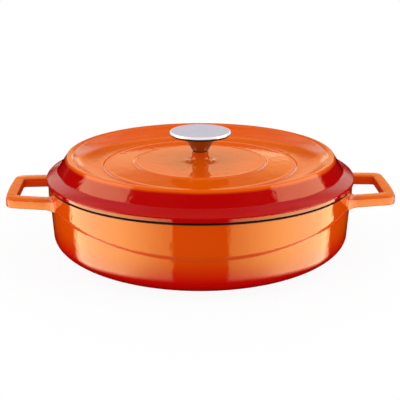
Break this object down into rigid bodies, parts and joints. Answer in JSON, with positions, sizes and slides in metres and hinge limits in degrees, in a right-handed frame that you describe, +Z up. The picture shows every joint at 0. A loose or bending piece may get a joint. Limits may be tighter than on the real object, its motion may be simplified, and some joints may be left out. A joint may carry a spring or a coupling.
{
  "type": "round shallow dutch oven",
  "caption": "Round shallow enamelled cast-iron pot with loop handles and a lift-off lid that carries a flat steel knob on a cone stem, for braising and baking.",
  "frame": {"origin": "centre of the pot's flat base, on the surface it stands on", "axes": "+Z up along the axis of pot and lid, +X out through one loop handle, -Y towards the viewer of the picture"},
  "size_m": [0.3654, 0.292, 0.1184],
  "materials": {
    "pot_enamel": "gloss orange enamel fading to red at the foot outside, satin black enamel inside and on the rim",
    "lid_enamel": "gloss enamel, orange on top and red on the wall and flange, satin black underneath",
    "bright_steel": "polished stainless steel",
    "satin_steel": "satin stainless steel with a polished rim",
    "screw_steel": "plain zinc-plated steel"
  },
  "bodies": {
    "pot": {"pot": "pot_enamel"},
    "lid": {"lid": "lid_enamel", "knob_stem": "bright_steel", "knob_disc": "satin_steel", "knob_screw": "screw_steel", "flat_washer": "screw_steel", "lock_washer": "screw_steel"}
  },
  "joints": [
    {"name": "lid_lift", "type": "slide", "parent": "pot", "child": "lid", "axis": [0, 0, 1], "range_m": [0, 0.15]}
  ]
}
